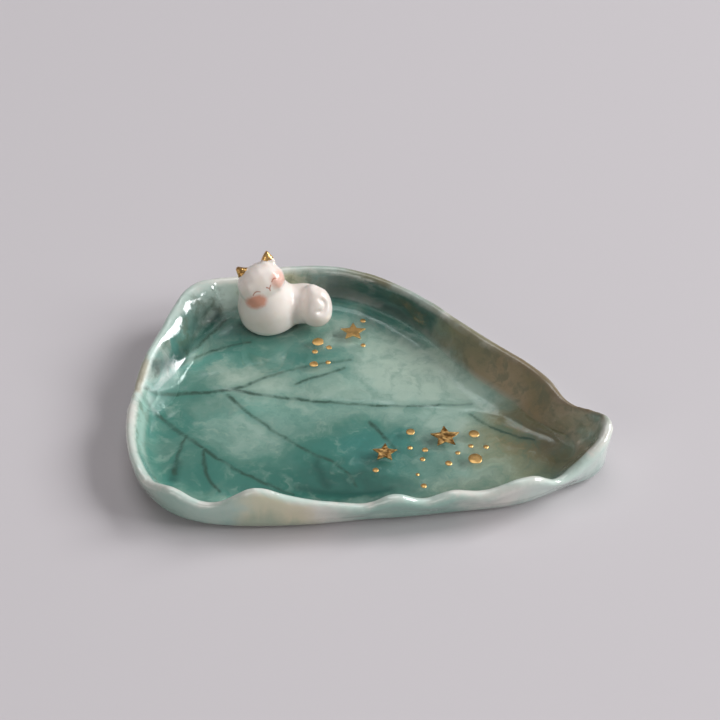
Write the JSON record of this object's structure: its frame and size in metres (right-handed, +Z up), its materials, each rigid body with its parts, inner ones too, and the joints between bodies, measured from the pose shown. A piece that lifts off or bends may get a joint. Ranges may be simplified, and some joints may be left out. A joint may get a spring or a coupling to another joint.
{
  "type": "ring dish",
  "caption": "Leaf-shaped ring dish of glazed porcelain with a wavy turned-up rim, a clear glassy pool, gold stars and a small seated cat.",
  "frame": {"origin": "on the table, under the middle of the dish's overall outline", "axes": "+X along the leaf's midrib from the stalk notch to the tip, +Y to the far side where the cat sits, +Z up"},
  "size_m": [0.094, 0.07, 0.0202],
  "materials": {
    "leaf_porcelain": "sea green and cream glaze, glossy",
    "clear_glaze": "clear pooled glaze, very glossy",
    "cat_porcelain": "white glaze, glossy",
    "gold_leaf": "gold lustre"
  },
  "bodies": {
    "root": {"leaf_dish": "leaf_porcelain", "clear_pool": "clear_glaze", "cat_body": "cat_porcelain", "cat_head": "cat_porcelain", "cat_left_ear": "cat_porcelain", "cat_right_ear": "cat_porcelain", "cat_tail": "cat_porcelain", "left_ear_gold": "gold_leaf", "right_ear_gold": "gold_leaf", "gold_star_back": "gold_leaf", "gold_star_right": "gold_leaf", "gold_star_left": "gold_leaf", "gold_dots_back": "gold_leaf", "gold_dots_front": "gold_leaf"}
  },
  "joints": []
}
